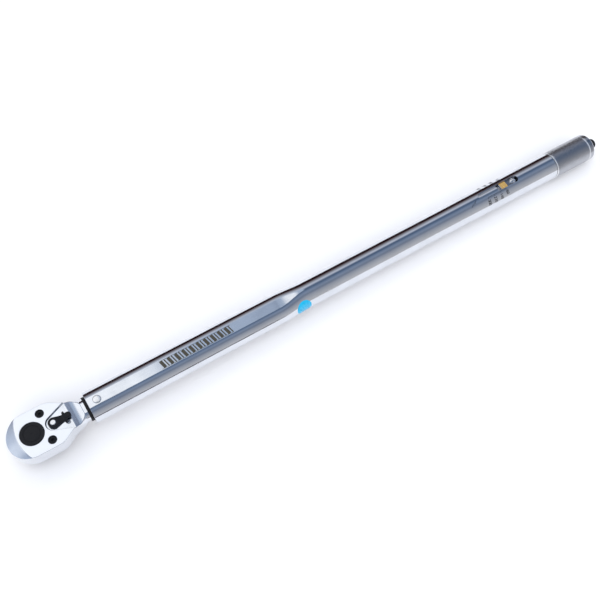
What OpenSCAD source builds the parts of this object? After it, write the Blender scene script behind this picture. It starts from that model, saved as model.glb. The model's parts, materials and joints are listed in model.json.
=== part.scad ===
// Click-type torque wrench with a reversible square-drive ratchet head, a flattened front tube,
// a window scale and a turning adjuster knob.
// Millimetres. Origin: centre of the square drive's end face. +X runs towards the handle end,
// +Z runs up through the ratchet head to the reversing lever.

/* [Drive and head] */
// side of the square drive
drive_side = 12.7; // [12.5:0.1:12.9]
// length of the square below its shoulder
drive_length = 16; // [14:0.5:18]
// thickness of the ratchet head
head_height = 19.8; // [19.4:0.2:20.2]
// half width of the ratchet head
head_half_width = 21.1; // [20.8:0.1:21.4]
// number of teeth on the drive gear
gear_teeth = 36; // [30:6:48]

/* [Tube] */
// outer diameter of the round tube
tube_diameter = 28; // [27.8:0.1:28.2]
// wall thickness of the tube
tube_wall = 2; // [1.8:0.1:2]
// outer diameter of the tube's rear end
tube_end_diameter = 30; // [29.4:0.1:30.2]

/* [Window and scale] */
// width of the window slot
window_width = 7.8; // [7:0.2:8.2]
// front end of the window
window_front = 502.3; // [501:0.1:503]
// rear end of the window
window_rear = 557; // [556.8:0.1:558]

/* [Knob] */
// outer diameter of the adjuster knob
knob_diameter = 30.5; // [30.2:0.1:31]
// number of axial grip grooves round the knob
knob_grooves = 60; // [40:4:80]

/* [Hidden] */
$fn = 64;
fit = 0.05;
boss_drop = 2.5;
axis_z = drive_length + boss_drop + head_height / 2;
head_top = head_height / 2;

// round and flattened tube sections
tube_r = tube_diameter / 2;
bore_r = tube_r - tube_wall;
flat_r = 11.35;
flat_half = 4.15;
flat_bore_r = flat_r - tube_wall;
tube_front = 52;
flat_end = 250;
round_start = 281;
taper_start = 440;
tube_rear = 609.2;

// ratchet head, seen from above
head_nose_x = -1.6;
head_side_end = 21;
face_end = 34.6;
face_end_half = 12.7;
neck_start = 46.5;
neck_end = 54.5;
neck_half = 11.8;
neck_r = 6.4;
shoulder_r = 13.1;
slope_x = 43.6;
slope_r = 30;
slope_front = 35.2;
foot_chamfer = 1.6;
bevel_x = 33.2;
bevel_r = 46;
bevel_drop = 4.2;
bevel_run = 9.9;
lever_x = 19.5;
recess_floor = 7.6;
recess_hub_r = 6.75;
recess_half_angle = 22.2;

// drive gear
journal_r = 10.6;
boss_r = 10;
gear_low = -6;
gear_high = 5;
gear_tip_r = 12;
gear_root_r = 11.2;
gear_pocket_r = 12.3;
gear_pocket_high = gear_high + 0.1;
plate_top = -7.4;

// cover screws
screw_x = 12.8;
screw_y = 13.6;
screw_head_r = 3.5;
screw_hole_r = 3.8;
screw_seat = 4.5;
screw_r = 2;
screw_clear_r = 2.1;

// pawl
pawl_low = -5;
pawl_high = 3.9;
pawl_half_angle = 28;
pawl_outer_r = 16.2;
pawl_tooth_r = 12.1;
pawl_root_r = 12.9;
pawl_back_x = 15.6;
pawl_swing_room = 37;
pusher_reach = 4.6;
pusher_r = 1.4;
pusher_z = -1;

// reversing lever and its shaft
lever_low = recess_floor + fit;
lever_high = 11;
hub_r = 4.7;
waist_x = 8;
waist_half = 3.1;
arm_half = 2.6;
arm_length = 13.9;
thumb_high = 12.4;
ear_x = 10.5;
ear_y = 4.3;
ear_r = 1.3;
shaft_r = 3;
rivet_r = 2.5;
detent_radius = 13.1;
detent_angle = -24;
detent_ball_r = 1.5;
detent_rise = 0.55;

// click mechanism
pin_x = 61;
pin_r = 3.75;
bush_r = 5.25;
shank_half = 10;
shank_rise = 6.7;
tail_start = 76;
tail_half = 7;
tail_rise = 5.8;
tail_reach = 150;
knuckle_r = 3;
knuckle_gap = 10;
socket_r = knuckle_r + 0.15;
socket_lip = 1.5;
front_knuckle_x = pin_x + tail_reach;
rear_knuckle_x = front_knuckle_x + knuckle_gap;
plunger_end = 247.5;
rod_r = 6;
seat_front = 302;
seat_thick = 4;
seat_r = bore_r - 0.1;
spigot_r = 6;
spring_mean_r = 9;
spring_wire_r = 2.1;
spring_front = seat_front + seat_thick;
spring_rear = 485;
spring_turns = 18;

// adjusting nut and lead screw
nut_front = 490;
nut_rear = 556;
screw_major_r = 4.95;
nut_bore_r = screw_major_r + fit;
key_half = window_width / 2 - 0.1;
pointer_x = 537.4;
pointer_half = 4.7;
slot_screw_x = 551;
slot_screw_r = 3.7;
lead_front = 495;
lead_rear = 654;
collar_x = 566;
collar_thick = 5;
collar_r = 9;
race_thick = 2;
ball_r = 1.5;
bearing_r = 7.5;
bearing_balls = 10;
bush_front = collar_x + collar_thick + 2 * race_thick + 2 * ball_r;

// knob
knob_r = knob_diameter / 2;
knob_front = 609.8;
knob_rear = 660.8;
ring_width = 1.5;
groove_depth = 0.35;
knob_pin_x = 635;
cap_rear = 667.4;
cap_edge = 1.6;
lock_r = 5.8;
lock_rear = 678.5;

// ---- shared shapes ----

// solid cylinder along the tool's axis
module rod(x0, x1, r) {
  translate([x0, 0, 0])
    rotate([0, 90, 0])
      cylinder(h = x1 - x0, r = r);
}

// cone frustum along the tool's axis
module taper(x0, x1, r0, r1) {
  translate([x0, 0, 0])
    rotate([0, 90, 0])
      cylinder(h = x1 - x0, r1 = r0, r2 = r1);
}

// upright cylinder between two heights
module post(x, y, z0, z1, r) {
  translate([x, y, z0])
    cylinder(h = z1 - z0, r = r);
}

// upright block centred on the tool's axis
module slab(x0, x1, half_y, z0, z1) {
  translate([x0, -half_y, z0])
    cube([x1 - x0, 2 * half_y, z1 - z0]);
}

// flattened tube section: a rectangle between two half rounds
module flat_section(x0, x1, r) {
  translate([x0, 0, 0])
    rotate([90, 0, 90])
      linear_extrude(x1 - x0)
        union() {
          square([2 * flat_half, 2 * r], center = true);
          translate([flat_half, 0])
            circle(r = r);
          translate([-flat_half, 0])
            circle(r = r);
        }
}

// pressed change from the flattened section to the round one
module flat_to_round(r_flat, r_round) {
  slice = 0.01;
  hull() {
    for (side = [-1, 1])
      translate([0, side * flat_half, 0])
        rod(flat_end, flat_end + slice, r_flat);
    rod(round_start - slice, round_start, r_round);
  }
}

// helical compression spring along +X with closed ends
module coil(x0, x1, mean_r, wire_r, turns, around, sides) {
  steps = turns * around;
  closed = around;
  span = x1 - x0 - 2 * wire_r;
  slow = 2 * wire_r * 1.02 / around;
  fast = (span - 2 * closed * slow) / (steps - 2 * closed);
  function reach(i) = min(i, closed) * slow
    + max(0, min(i, steps - closed) - closed) * fast
    + max(0, i - steps + closed) * slow;
  points = [
    for (i = [0 : steps], k = [0 : sides - 1])
      let (
        turn = 360 * i / around,
        lean = 360 * k / sides,
        r = mean_r + wire_r * cos(lean)
      )
      [x0 + wire_r + reach(i) + wire_r * sin(lean), r * cos(turn), r * sin(turn)]
  ];
  walls = [
    for (i = [0 : steps - 1], k = [0 : sides - 1])
      let (next = (k + 1) % sides)
      [i * sides + k, i * sides + next, (i + 1) * sides + next, (i + 1) * sides + k]
  ];
  first_end = [[for (k = [sides - 1 : -1 : 0]) k]];
  last_end = [[for (k = [0 : sides - 1]) steps * sides + k]];
  polyhedron(points = points, faces = concat(walls, first_end, last_end), convexity = 10);
}

// ---- tube and what is fixed to it ----

module tube_outside() {
  flat_section(tube_front, flat_end, flat_r);
  flat_to_round(flat_r, tube_r);
  rod(round_start, taper_start, tube_r);
  taper(taper_start, tube_rear, tube_r, tube_end_diameter / 2);
}

module tube_inside() {
  flat_section(tube_front - 1, flat_end, flat_bore_r);
  flat_to_round(flat_bore_r, bore_r);
  rod(round_start, tube_rear + 1, bore_r);
}

module window_cut() {
  end_r = window_width / 2;
  slab(window_front + end_r, window_rear - end_r, end_r, 0, tube_r + 2);
  post(window_front + end_r, 0, 0, tube_r + 2, end_r);
  post(window_rear - end_r, 0, 0, tube_r + 2, end_r);
}

module tube() {
  color("silver")
    translate([0, 0, axis_z])
      difference() {
        tube_outside();
        tube_inside();
        window_cut();
        post(pin_x, 0, -flat_r - 1, flat_r + 1, pin_r);
      }
}

module pivot_pin() {
  color("silver")
    translate([0, 0, axis_z])
      post(pin_x, 0, -flat_r, flat_r + 0.25, pin_r);
}

module pivot_washers() {
  washer_r = 6.3;
  thick = flat_bore_r - shank_rise - 2 * fit;
  color("peru")
    translate([0, 0, axis_z])
      for (low = [shank_rise + fit, -shank_rise - fit - thick])
        difference() {
          intersection() {
            post(pin_x, 0, low, low + thick, washer_r);
            flat_section(tube_front, flat_end, flat_bore_r - fit);
          }
          post(pin_x, 0, low - 1, low + thick + 1, pin_r + fit);
        }
}

module neck_seal() {
  seal_front = 49.2;
  seal_rear = 54.1;
  color("black")
    translate([0, 0, axis_z])
      difference() {
        union() {
          flat_section(seal_front, tube_front + 0.1, neck_r + 1.5);
          flat_section(tube_front, seal_rear, flat_bore_r);
        }
        flat_section(seal_front - 1, seal_rear + 1, neck_r + 0.55);
      }
}

// skin of the tube where it becomes round, grown by a margin
module pressed_skin(margin) {
  flat_to_round(flat_r + margin, tube_r + margin);
  rod(round_start, round_start + 5, tube_r + margin);
}

module check_sticker() {
  sticker_x = 273.5;
  sticker_r = 8.4;
  lean = 73;
  thick = 0.12;
  color("deepskyblue")
    translate([0, 0, axis_z])
      intersection() {
        difference() {
          pressed_skin(0.01 + thick);
          pressed_skin(0.01);
        }
        translate([sticker_x, 0, 0])
          rotate([lean, 0, 0])
            cylinder(h = 2 * tube_r, r = sticker_r);
      }
}

module rear_bush() {
  color("dimgray")
    translate([0, 0, axis_z])
      difference() {
        rod(bush_front, tube_rear, bore_r - 0.02);
        rod(bush_front - 1, tube_rear + 1, nut_bore_r);
      }
}

module bearing_race(x0) {
  translate([0, 0, axis_z])
    difference() {
      rod(x0, x0 + race_thick - 0.02, bearing_r + 2.5);
      rod(x0 - 1, x0 + race_thick + 1, screw_major_r + fit);
    }
}

module rear_bearing_race() {
  color("gray")
    bearing_race(bush_front - race_thick);
}

// ---- ratchet head ----

// head outline seen from above, from the nose to the start of the neck
module head_outline() {
  translate([head_nose_x, 0])
    circle(r = head_half_width);
  polygon([
    [head_nose_x, -head_half_width],
    [head_side_end, -head_half_width],
    [face_end, -face_end_half],
    [face_end, face_end_half],
    [head_side_end, head_half_width],
    [head_nose_x, head_half_width]
  ]);
}

// slope around the nose, cut by a wide cone
module nose_bevel() {
  translate([bevel_x, 0, head_top - bevel_drop])
    difference() {
      translate([-60, -60, 0])
        cube([60 - bevel_x / 2, 120, bevel_drop + 1]);
      translate([0, 0, -bevel_drop])
        cylinder(h = 3 * bevel_drop, r1 = bevel_r + 2 * bevel_run, r2 = bevel_r - bevel_run);
    }
}

// chamfer round the head's lower edge
module foot_bevel() {
  deep = foot_chamfer + 1;
  translate([head_nose_x, 0, -head_top - 1])
    difference() {
      translate([-60, -60, 0])
        cube([60, 120, deep]);
      cylinder(h = deep, r1 = head_half_width - deep, r2 = head_half_width);
    }
  for (side = [0, 1])
    mirror([0, side, 0]) {
      foot_prism([head_nose_x, head_half_width], [head_side_end, head_half_width], deep);
      foot_prism([head_side_end, head_half_width], [face_end, face_end_half], deep);
    }
}

// wedge along the lower edge between two corners of the outline
module foot_prism(from, to, deep) {
  along = to - from;
  over = 6;
  translate([from[0], from[1], -head_top])
    rotate([0, 0, atan2(along[1], along[0])])
      translate([from[0] == head_nose_x ? 0 : -over, 0, 0])
        rotate([90, 0, 90])
          linear_extrude(norm(along) + over + (from[0] == head_nose_x ? 0 : over))
            polygon([[-deep, -1], [1, -1], [1, deep]]);
}

// neck behind the head: square-sided at the face, a flattened round at the seal
module neck() {
  intersection() {
    translate([0, 0, -head_top])
      linear_extrude(head_height)
        polygon([
          [face_end, -face_end_half],
          [neck_start, -neck_half],
          [neck_start, neck_half],
          [face_end, face_end_half]
        ]);
    union() {
      slab(face_end, neck_start, flat_half, -head_top, head_top);
      for (side = [-1, 1])
        translate([0, side * flat_half, 0])
          taper(face_end, neck_start, shoulder_r, neck_r);
    }
  }
  flat_section(neck_start, neck_end, neck_r);
}

// fan-shaped recess under the reversing lever
module lever_recess() {
  depth = head_top - recess_floor + 1;
  run = 27;
  lean = recess_half_angle;
  post(lever_x, 0, recess_floor, recess_floor + depth, recess_hub_r);
  translate([lever_x, 0, recess_floor])
    linear_extrude(depth)
      polygon([
        for (side = [-1, 1], far = side < 0 ? [0, run] : [run, 0])
          [far * cos(lean) - recess_hub_r * sin(lean), side * (far * sin(lean) + recess_hub_r * cos(lean))]
      ]);
}

// seat of the bottom cover, drawn in by a margin
module cover_outline(margin) {
  half = head_half_width - 3.8 - margin;
  corner_x = 15;
  rear_x = 30 - margin;
  rear_half = 10 - margin;
  translate([head_nose_x, 0])
    circle(r = half);
  polygon([
    [head_nose_x, -half],
    [corner_x, -half],
    [rear_x, -rear_half],
    [rear_x, rear_half],
    [corner_x, half],
    [head_nose_x, half]
  ]);
}

// space for the pawl to shift in behind the gear
module pawl_pocket() {
  reach = 16.4;
  far = 30;
  translate([0, 0, plate_top - 1])
    intersection() {
      cylinder(h = pawl_high + 0.1 - plate_top + 1, r = reach);
      linear_extrude(20)
        polygon([
          [0, 0],
          [far * cos(pawl_swing_room), -far * sin(pawl_swing_room)],
          [far * cos(pawl_swing_room), far * sin(pawl_swing_room)]
        ]);
    }
  post(lever_x, 0, plate_top - 1, pawl_high + 0.1, 5.2);
}

module ratchet_head() {
  color("silver")
    translate([0, 0, axis_z])
      difference() {
        union() {
          translate([0, 0, -head_top])
            linear_extrude(head_height)
              head_outline();
          neck();
          slab(neck_end, tail_start, shank_half, -shank_rise, shank_rise);
          slab(tail_start, front_knuckle_x + socket_lip, tail_half, -tail_rise, tail_rise);
        }
        nose_bevel();
        foot_bevel();
        // concave slopes down to the neck
        for (side = [0, 1])
          mirror([0, 0, side]) {
            intersection() {
              translate([slope_x, 0, neck_r + slope_r])
                rotate([90, 0, 0])
                  cylinder(h = 80, r = slope_r, center = true);
              slab(slope_front, slope_x + 1, 40, 0, 40);
            }
            slab(slope_x, neck_start + 1, 40, neck_r, neck_r + 20);
          }
        lever_recess();
        // gear, pawl and cover openings
        post(0, 0, -head_top - 1, head_top + 1, journal_r + fit);
        post(0, 0, -head_top - 1, gear_pocket_high, gear_pocket_r);
        pawl_pocket();
        translate([0, 0, -head_top - 1])
          linear_extrude(plate_top + head_top + 1)
            cover_outline(0);
        post(lever_x, 0, 0, head_top, shaft_r + fit);
        // cover screws
        for (side = [-1, 1]) {
          post(screw_x, side * screw_y, screw_seat, head_top + 1, screw_hole_r);
          post(screw_x, side * screw_y, -head_top, screw_seat + 1, screw_clear_r);
        }
        // detent ball
        post(lever_x + detent_radius * cos(detent_angle), detent_radius * sin(detent_angle),
             pawl_high - 1.4, recess_floor + 1, detent_ball_r + 0.03);
        // pivot
        post(pin_x, 0, -shank_rise - 1, shank_rise + 1, bush_r);
        // socket for the tilt block
        post(front_knuckle_x, 0, -tail_rise - 1, tail_rise + 1, socket_r);
        slab(front_knuckle_x, front_knuckle_x + 5, socket_r, -tail_rise - 1, tail_rise + 1);
      }
}

module pivot_bush() {
  color("peru")
    translate([0, 0, axis_z])
      difference() {
        post(pin_x, 0, -shank_rise, shank_rise, bush_r - 0.01);
        post(pin_x, 0, -shank_rise - 1, shank_rise + 1, pin_r + 0.03);
      }
}

module cover_plate() {
  color("silver")
    translate([0, 0, axis_z])
      difference() {
        translate([0, 0, -head_top])
          linear_extrude(plate_top + head_top)
            cover_outline(0.06);
        post(0, 0, -head_top - 1, plate_top + 1, boss_r + fit);
        for (side = [-1, 1])
          post(screw_x, side * screw_y, -head_top - 1, plate_top + 1, screw_r + 0.02);
        // bearing for the lever shaft's foot
        post(lever_x, 0, plate_top - 1.5, plate_top + 1, shaft_r + fit);
      }
}

module cover_screws() {
  key_r = 1.9;
  color([0.1, 0.1, 0.1])
    translate([0, 0, axis_z])
      for (side = [-1, 1])
        translate([screw_x, side * screw_y, 0])
          difference() {
            union() {
              post(0, 0, screw_seat, screw_seat + 4, screw_head_r);
              post(0, 0, -head_top + 0.3, screw_seat, screw_r);
            }
            translate([0, 0, screw_seat + 1.8])
              cylinder(h = 3, r = key_r, $fn = 6);
          }
}

// place of the detent ball in the recess floor
module at_detent() {
  translate([lever_x + detent_radius * cos(detent_angle), detent_radius * sin(detent_angle), axis_z])
    children();
}

module detent_ball() {
  color("gainsboro")
    at_detent()
      translate([0, 0, recess_floor + detent_rise - detent_ball_r])
        sphere(r = detent_ball_r);
}

module detent_spring() {
  foot = pawl_high - 1.4;
  top = recess_floor + detent_rise - 2 * detent_ball_r;
  color("silver")
    at_detent()
      translate([0, 0, foot])
        rotate([0, -90, 0])
          coil(0, top - foot, 1, 0.17, 5, 12, 6);
}

// ---- drive gear ----

// toothed ring outline
module gear_outline() {
  step = 360 / gear_teeth;
  polygon([
    for (i = [0 : gear_teeth - 1], half = [0, 1])
      let (r = half == 0 ? gear_tip_r : gear_root_r, a = (i + half / 2) * step)
      [r * cos(a), r * sin(a)]
  ]);
}

module drive_gear() {
  edge = 0.9;
  groove_low = -head_top + 0.5;
  ball_z = drive_length / 2 - axis_z;
  shoulder = drive_length - axis_z;
  color([0.12, 0.12, 0.13])
    translate([0, 0, axis_z])
      difference() {
        union() {
          post(0, 0, gear_high, head_top + 0.1, journal_r);
          translate([0, 0, gear_low])
            linear_extrude(gear_high - gear_low)
              gear_outline();
          post(0, 0, shoulder, gear_low, boss_r);
          // square drive with cut corners
          intersection() {
            translate([0, 0, drive_length / 2 - axis_z])
              cube([drive_side, drive_side, drive_length], center = true);
            post(0, 0, -axis_z, shoulder, drive_side * 0.66);
            translate([0, 0, -axis_z])
              cylinder(h = drive_length, r1 = drive_side * 0.66 - edge, r2 = drive_side * 0.66 - edge + drive_length);
          }
        }
        // turned ring in the top face
        difference() {
          post(0, 0, head_top - 0.3, head_top + 1, 7.6);
          post(0, 0, head_top - 1, head_top + 2, 7);
        }
        // groove for the friction ring
        difference() {
          post(0, 0, groove_low, groove_low + 1.6, boss_r + 1);
          post(0, 0, groove_low - 1, groove_low + 2.6, 8.55);
        }
        // cross bore for the retaining ball
        translate([-drive_side / 2 - 1, 0, ball_z])
          rotate([0, 90, 0])
            cylinder(h = 7.2, r = 2.03);
      }
}

module gear_o_ring() {
  color([0.05, 0.05, 0.05])
    translate([0, 0, axis_z - head_top + 1.3])
      rotate_extrude()
        translate([9.32, 0])
          circle(r = 0.7, $fn = 24);
}

module drive_ball() {
  color("gainsboro")
    translate([-drive_side / 2 + 1.1, 0, drive_length / 2])
      sphere(r = 2);
}

module drive_ball_spring() {
  color("silver")
    translate([0, 0, drive_length / 2])
      coil(-drive_side / 2 + 3.12, -drive_side / 2 + 6.18, 1.4, 0.22, 4, 12, 6);
}

// ---- reversing lever ----

// lever seen from above, with its pivot at the origin
module lever_outline() {
  circle(r = hub_r);
  polygon([
    [0, -hub_r],
    [waist_x, -waist_half],
    [ear_x, -waist_half],
    [ear_x, waist_half],
    [waist_x, waist_half],
    [0, hub_r]
  ]);
  translate([0, -arm_half])
    square([arm_length, 2 * arm_half]);
  translate([arm_length, 0])
    circle(r = arm_half);
  for (side = [-1, 1])
    translate([ear_x, side * ear_y])
      circle(r = ear_r);
  translate([ear_x - ear_r, -ear_y])
    square([2 * ear_r, 2 * ear_y]);
}

module reverse_lever() {
  track_half = detent_ball_r * 0.8;
  color([0.1, 0.1, 0.11])
    translate([lever_x, 0, axis_z])
      difference() {
        union() {
          translate([0, 0, lever_low])
            linear_extrude(lever_high - lever_low)
              lever_outline();
          // raised thumb piece
          post(arm_length, 0, lever_high - 1, thumb_high, arm_half - 0.2);
        }
        post(0, 0, lever_low - 1, lever_high + 1, rivet_r);
        // curved track under the arm for the detent ball
        difference() {
          post(0, 0, lever_low - 1, lever_low + 0.9, detent_radius + track_half);
          post(0, 0, lever_low - 2, lever_low + 2, detent_radius - track_half);
          translate([-20, track_half, lever_low - 2])
            cube([40, 20, 4]);
        }
      }
}

module lever_shaft() {
  bore_depth = 5;
  color("gainsboro")
    translate([lever_x, 0, axis_z])
      difference() {
        union() {
          post(0, 0, plate_top - 1.4, recess_floor - fit, shaft_r);
          post(0, 0, recess_floor - fit, lever_high + 0.2, rivet_r - 0.01);
          post(0, 0, plate_top + fit, plate_top + 1.2, shaft_r + 1);
        }
        // cross bore for the spring-loaded pusher
        translate([-shaft_r - 1, 0, pusher_z])
          rotate([0, 90, 0])
            cylinder(h = bore_depth + 1, r = pusher_r + 0.03);
      }
}

module pawl_pusher() {
  nose_x = lever_x - pusher_reach + pusher_r;
  tail_x = lever_x - 0.9;
  color("gainsboro")
    translate([0, 0, axis_z + pusher_z])
      union() {
        rod(nose_x, tail_x, pusher_r);
        translate([nose_x, 0, 0])
          sphere(r = pusher_r);
      }
}

module pusher_spring() {
  color("silver")
    translate([0, 0, axis_z + pusher_z])
      coil(lever_x - 0.88, lever_x + 1.95, 1, 0.17, 4, 12, 6);
}

module pawl() {
  step = 360 / gear_teeth;
  height = pawl_high - pawl_low;
  color("dimgray")
    translate([0, 0, axis_z + pawl_low])
      difference() {
        intersection() {
          cylinder(h = height, r = pawl_outer_r);
          linear_extrude(height)
            polygon([
              [0, 0],
              [pawl_back_x, -pawl_back_x * tan(pawl_half_angle)],
              [pawl_back_x, pawl_back_x * tan(pawl_half_angle)]
            ]);
        }
        translate([0, 0, -1])
          cylinder(h = height + 2, r = pawl_tooth_r);
        // tooth spaces at both ends, with a plain middle
        for (side = [-1, 1], i = [1 : 2])
          rotate([0, 0, side * (i + 0.25) * step])
            translate([pawl_tooth_r - 0.1, 0, -1])
              rotate([0, 0, 45])
                translate([-0.7, -0.7, 0])
                  cube([1.4, 1.4, height + 2]);
        intersection() {
          translate([0, 0, -1])
            cylinder(h = height + 2, r = pawl_root_r - 0.3);
          translate([0, -2.4, -1])
            cube([20, 4.8, height + 2]);
        }
        // hollow that the pusher presses in
        post(lever_x, 0, -1, height + 1, pusher_reach + fit);
      }
}

// ---- click mechanism ----

module tilt_block() {
  bar_half = 2.2;
  rise = 5;
  color("gray")
    translate([0, 0, axis_z])
      union() {
        post(front_knuckle_x, 0, -rise, rise, knuckle_r);
        post(rear_knuckle_x, 0, -rise, rise, knuckle_r);
        slab(front_knuckle_x, rear_knuckle_x, bar_half, -rise, rise);
      }
}

module plunger() {
  front = rear_knuckle_x - socket_lip;
  color("dimgray")
    translate([0, 0, axis_z])
      difference() {
        flat_section(front, plunger_end, flat_bore_r - 0.08);
        post(rear_knuckle_x, 0, -20, 20, knuckle_r + fit);
        slab(front - 1, rear_knuckle_x, knuckle_r + fit, -20, 20);
        rod(plunger_end - 8, plunger_end + 1, rod_r + 0.01);
      }
}

module push_rod() {
  color("gray")
    translate([0, 0, axis_z])
      rod(plunger_end - 8, seat_front, rod_r);
}

module front_spring_seat() {
  color("dimgray")
    translate([0, 0, axis_z])
      union() {
        rod(seat_front, seat_front + seat_thick, seat_r);
        taper(seat_front + seat_thick, seat_front + seat_thick + 12, spigot_r, spigot_r - 1);
      }
}

module main_spring() {
  color("steelblue")
    translate([0, 0, axis_z])
      coil(spring_front + 0.02, spring_rear, spring_mean_r, spring_wire_r, spring_turns, 20, 8);
}

module rear_spring_seat() {
  color("dimgray")
    translate([0, 0, axis_z])
      rod(spring_rear + 0.02, nut_front - 0.02, seat_r);
}

module adjusting_nut() {
  flat_z = 9.4;
  color("dimgray")
    translate([0, 0, axis_z])
      difference() {
        rod(nut_front, nut_rear, bore_r - 0.1);
        rod(nut_front + 3, nut_rear + 1, nut_bore_r);
        // flat that carries the indicator
        slab(pointer_x - pointer_half - 3, nut_rear + 1, 20, flat_z, 20);
        post(slot_screw_x, 0, 6.6, 20, 1.5);
      }
}

module indicator() {
  flat_z = 9.4;
  face_z = bore_r + 0.9;
  foot_rear = slot_screw_x + 4;
  color("goldenrod")
    translate([0, 0, axis_z])
      difference() {
        union() {
          slab(pointer_x - pointer_half, foot_rear, key_half, flat_z, bore_r - 0.6);
          slab(pointer_x - pointer_half, pointer_x + pointer_half, key_half, flat_z, face_z);
        }
        post(slot_screw_x, 0, 0, 20, 1.6);
        // reading line across the face
        translate([pointer_x - 0.25, -key_half - 1, face_z - 0.2])
          cube([0.5, 2 * key_half + 2, 1]);
      }
}

module indicator_screw() {
  low = bore_r - 0.6;
  color("gainsboro")
    translate([slot_screw_x, 0, axis_z])
      difference() {
        union() {
          post(0, 0, 6.7, low, 1.48);
          intersection() {
            post(0, 0, low, low + 2.4, slot_screw_r);
            translate([0, 0, low + 2.4 - 6])
              sphere(r = 6);
          }
        }
        translate([-0.45, -5, low + 1.6])
          cube([0.9, 10, 2]);
      }
}

// ---- adjuster ----

module lead_screw() {
  color("gray")
    translate([0, 0, axis_z])
      difference() {
        union() {
          rod(lead_front, lead_rear, screw_major_r);
          rod(collar_x, collar_x + collar_thick, collar_r);
        }
        translate([knob_pin_x, 0, -10])
          cylinder(h = 20, r = 2);
      }
}

module front_bearing_race() {
  color("gray")
    bearing_race(collar_x + collar_thick + 0.02);
}

module bearing_balls() {
  mid = collar_x + collar_thick + race_thick + ball_r;
  color("gainsboro")
    translate([mid, 0, axis_z])
      for (i = [0 : bearing_balls - 1])
        rotate([i * 360 / bearing_balls, 0, 0])
          translate([0, 0, bearing_r])
            sphere(r = ball_r - 0.02, $fn = 32);
}

module knob() {
  step = 360 / knob_grooves;
  grip_front = knob_front + ring_width;
  grip_rear = knob_rear - ring_width;
  color("lightgray")
    translate([0, 0, axis_z])
      difference() {
        union() {
          rod(knob_front, knob_rear, knob_r - groove_depth);
          rod(knob_front, grip_front, knob_r);
          rod(grip_rear, knob_rear, knob_r);
          // raised grip between the two plain rings
          translate([grip_front, 0, 0])
            rotate([90, 0, 90])
              linear_extrude(grip_rear - grip_front)
                polygon([
                  for (i = [0 : knob_grooves - 1], half = [0, 1])
                    let (r = half == 0 ? knob_r - 0.02 : knob_r - groove_depth, a = (i + half / 2) * step)
                    [r * cos(a), r * sin(a)]
                ]);
        }
        rod(knob_front - 1, knob_rear + 1, screw_major_r + 0.02);
        rod(knob_rear - 8, knob_rear + 1, 11);
        translate([knob_pin_x, 0, -20])
          cylinder(h = 40, r = 2);
      }
}

module knob_pin() {
  color("gray")
    translate([knob_pin_x, 0, axis_z - 14])
      cylinder(h = 28, r = 1.99);
}

module end_cap() {
  cap_r = knob_r - 0.1;
  plug_r = 10.98;
  color("silver")
    translate([0, 0, axis_z])
      difference() {
        union() {
          rod(knob_rear - 5, knob_rear + 1, plug_r);
          rod(knob_rear + 0.02, cap_rear - cap_edge, cap_r);
          taper(cap_rear - cap_edge, cap_rear, cap_r, cap_r - cap_edge);
        }
        rod(knob_rear - 6, cap_rear + 1, 3 + fit);
      }
}

module lock_knob() {
  neck_x = cap_rear + 0.3;
  edge = 1.2;
  key_r = 2.3;
  color([0.12, 0.12, 0.12])
    translate([0, 0, axis_z])
      difference() {
        union() {
          rod(lock_rear - 20, neck_x, 3);
          rod(neck_x, lock_rear - edge, lock_r);
          taper(lock_rear - edge, lock_rear, lock_r, lock_r - edge);
        }
        translate([lock_rear - 2, 0, 0])
          rotate([0, 90, 0])
            cylinder(h = 3, r = key_r, $fn = 6);
      }
}

tube();
pivot_pin();
pivot_washers();
neck_seal();
check_sticker();
rear_bush();
rear_bearing_race();
ratchet_head();
pivot_bush();
cover_plate();
cover_screws();
detent_spring();
detent_ball();
drive_gear();
gear_o_ring();
drive_ball();
drive_ball_spring();
reverse_lever();
lever_shaft();
pawl_pusher();
pusher_spring();
pawl();
tilt_block();
plunger();
push_rod();
front_spring_seat();
main_spring();
rear_spring_seat();
adjusting_nut();
indicator();
indicator_screw();
lead_screw();
front_bearing_race();
bearing_balls();
knob();
knob_pin();
end_cap();
lock_knob();
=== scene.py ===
"""Click-type torque wrench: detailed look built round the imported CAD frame.

Metres in Blender; the shape helpers below work in millimetres in the tube frame, whose axis is
AXIS_Z above the drive's end face, and convert when a mesh is made.
"""
import json
import math

import bmesh
import bpy
import numpy as np
from mathutils import Matrix, Vector


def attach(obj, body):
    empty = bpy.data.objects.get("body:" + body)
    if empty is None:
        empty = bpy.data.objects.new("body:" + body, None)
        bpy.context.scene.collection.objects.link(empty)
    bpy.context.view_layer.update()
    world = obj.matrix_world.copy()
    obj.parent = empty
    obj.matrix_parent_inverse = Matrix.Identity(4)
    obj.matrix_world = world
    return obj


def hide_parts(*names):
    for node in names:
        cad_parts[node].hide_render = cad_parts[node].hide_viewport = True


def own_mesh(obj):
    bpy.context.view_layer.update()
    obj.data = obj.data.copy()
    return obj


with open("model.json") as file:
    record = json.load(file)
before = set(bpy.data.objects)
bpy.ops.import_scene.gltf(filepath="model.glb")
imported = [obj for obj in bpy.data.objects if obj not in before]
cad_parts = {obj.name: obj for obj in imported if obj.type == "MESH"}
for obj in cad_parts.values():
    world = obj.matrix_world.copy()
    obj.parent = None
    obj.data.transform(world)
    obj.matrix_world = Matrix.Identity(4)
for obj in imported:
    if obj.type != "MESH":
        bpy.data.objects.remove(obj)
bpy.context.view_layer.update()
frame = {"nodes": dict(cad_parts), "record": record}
nodes = frame["nodes"]

MM = 0.001
AXIS_Z = 28.4
# half width of the flat on the tube's pressed part
FLAT_HALF = 4.15

# ---- camera ----

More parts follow.
